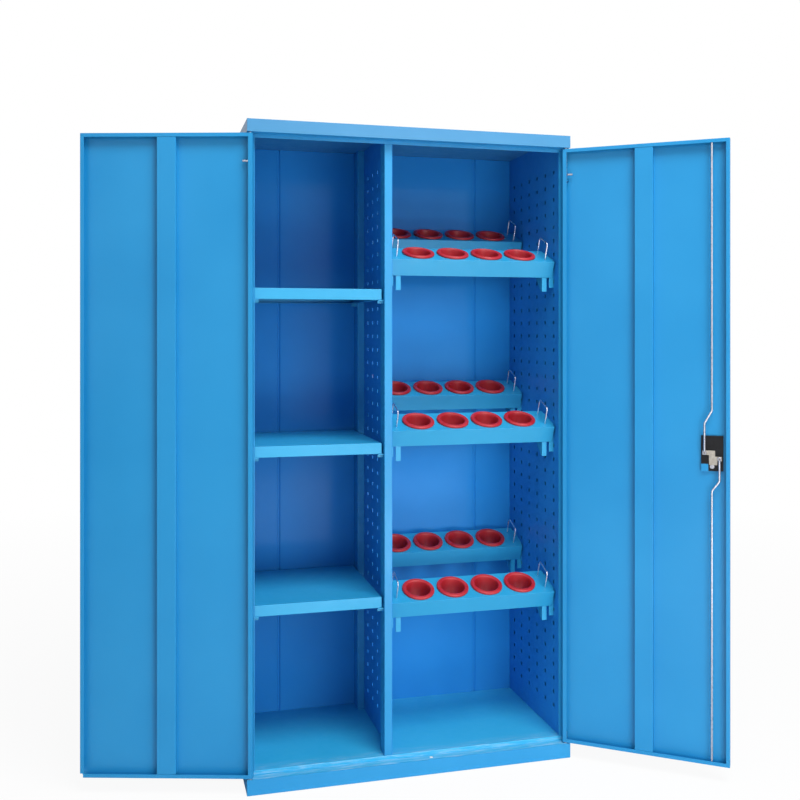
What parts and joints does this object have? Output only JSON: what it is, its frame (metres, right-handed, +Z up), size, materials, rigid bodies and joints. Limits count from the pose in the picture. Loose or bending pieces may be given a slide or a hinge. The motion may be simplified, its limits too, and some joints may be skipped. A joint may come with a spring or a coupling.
{
  "type": "tool_cabinet",
  "caption": "A tall blue sheet-steel tool cabinet with hinged doors, shelves in its left bay and tilted racks of red tool-holder cups in its right bay.",
  "frame": {"origin": "on the ground, under the middle of the cabinet", "axes": "+Z up, +Y from the doors to the back, +X to the right of someone facing the doors"},
  "size_m": [1.7023, 0.7148, 1.78],
  "materials": {
    "blue_paint": "semi-gloss powder coat",
    "bright_zinc": "bright zinc plate",
    "zinc_casting": "dull cast zinc",
    "black_steel": "satin",
    "red_plastic": "moulded, slightly glossy"
  },
  "bodies": {
    "cabinet": {"plinth": "blue_paint", "sill_rail": "blue_paint", "floor_panel": "blue_paint", "left_side_panel": "blue_paint", "right_side_panel": "blue_paint", "top_panel": "blue_paint", "header_rail": "blue_paint", "back_panel": "blue_paint", "right_wall_liner": "blue_paint", "divider_panel": "blue_paint", "divider_front_upright": "blue_paint", "divider_rear_upright": "blue_paint", "left_front_upright": "blue_paint", "left_rear_upright": "blue_paint", "lower_shelf": "blue_paint", "middle_shelf": "blue_paint", "upper_shelf": "blue_paint", "shelf_clips": "blue_paint", "rack_tray_1": "blue_paint", "rack_tray_2": "blue_paint", "rack_tray_3": "blue_paint", "rack_tray_4": "blue_paint", "rack_tray_5": "blue_paint", "rack_tray_6": "blue_paint", "rack_cups_1": "red_plastic", "rack_cups_2": "red_plastic", "rack_cups_3": "red_plastic", "rack_cups_4": "red_plastic", "rack_cups_5": "red_plastic", "rack_cups_6": "red_plastic", "rack_gussets": "blue_paint", "rack_brackets": "blue_paint", "rack_bails": "bright_zinc", "left_bottom_pin": "bright_zinc", "right_bottom_pin": "bright_zinc"},
    "left_door": {"left_door_pan": "blue_paint", "left_door_stiffener": "blue_paint", "left_pin_guide": "blue_paint"},
    "left_top_pin_body": {"left_top_pin": "bright_zinc"},
    "right_door": {"right_door_pan": "blue_paint", "right_door_stiffener": "blue_paint", "right_pin_guide": "blue_paint", "lock_case": "black_steel", "lock_plate": "black_steel", "lock_screws": "bright_zinc", "lock_block": "zinc_casting", "lock_tab": "blue_paint"},
    "right_top_pin_body": {"right_top_pin": "bright_zinc"},
    "lock_turn": {"lock_cam": "zinc_casting", "lock_handle": "bright_zinc"},
    "key": {"key_plug": "bright_zinc"},
    "upper_rod_body": {"upper_rod": "bright_zinc"},
    "lower_rod_body": {"lower_rod": "bright_zinc"}
  },
  "joints": [
    {"name": "left_door_hinge", "type": "hinge", "parent": "cabinet", "child": "left_door", "pos_m": [-0.4505, -0.2135, 0.9], "axis": [0, 0, 1], "range_deg": [-4.1, 195.9]},
    {"name": "right_door_hinge", "type": "hinge", "parent": "cabinet", "child": "right_door", "pos_m": [0.4505, -0.2135, 0.9], "axis": [0, 0, 1], "range_deg": [-143.2, 56.8]},
    {"name": "left_pin_slide", "type": "slide", "parent": "left_door", "child": "left_top_pin_body", "axis": [0, 0, -1], "range_m": [0, 0.011]},
    {"name": "right_pin_slide", "type": "slide", "parent": "right_door", "child": "right_top_pin_body", "axis": [0, 0, -1], "range_m": [0, 0.011]},
    {"name": "handle_turn", "type": "hinge", "parent": "right_door", "child": "lock_turn", "pos_m": [0.77199, -0.45401, 0.882], "axis": [0.599, 0.8007, 0], "range_deg": [0, 90]},
    {"name": "key_turn", "type": "hinge", "parent": "right_door", "child": "key", "pos_m": [0.77199, -0.45401, 0.852], "axis": [0.599, 0.8007, 0], "range_deg": [0, 90]},
    {"name": "upper_rod_slide", "type": "slide", "parent": "right_door", "child": "upper_rod_body", "axis": [0, 0, 1], "range_m": [0, 0.015]},
    {"name": "lower_rod_slide", "type": "slide", "parent": "right_door", "child": "lower_rod_body", "axis": [0, 0, -1], "range_m": [0, 0.015]}
  ],
  "couplings": [
    {"joint": "handle_turn", "follows": "upper_rod_slide", "rad_per_m": 104.7},
    {"joint": "lower_rod_slide", "follows": "upper_rod_slide", "ratio": 1}
  ]
}
